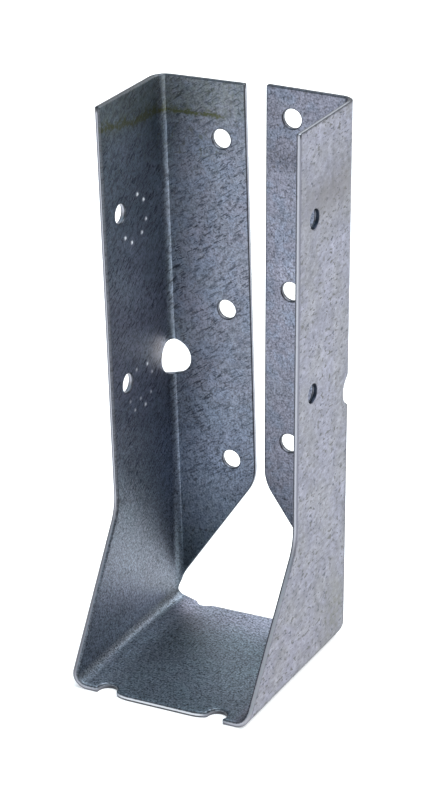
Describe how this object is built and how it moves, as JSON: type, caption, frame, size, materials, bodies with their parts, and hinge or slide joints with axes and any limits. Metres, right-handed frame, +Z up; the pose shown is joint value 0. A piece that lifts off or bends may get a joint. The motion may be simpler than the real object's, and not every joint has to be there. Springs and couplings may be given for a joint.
{
  "type": "joist hanger",
  "caption": "Concealed-flange joist hanger folded from one galvanised steel sheet, with a flared seat, two inward flanges and nail holes.",
  "frame": {"origin": "centre of the seat's underside, midway between the sides and between the seat's front and rear edges", "axes": "+X across the seat to the right as seen from the open front, +Y back towards the header, +Z up along the sides"},
  "size_m": [0.0458, 0.0472, 0.1211],
  "materials": {
    "galvanised_steel": "dull zinc coating with fine dark flecks and faint forming streaks; the sheared edges are bright on the half towards the outside and dark towards the inside"
  },
  "bodies": {
    "root": {"hanger": "galvanised_steel"}
  },
  "joints": []
}
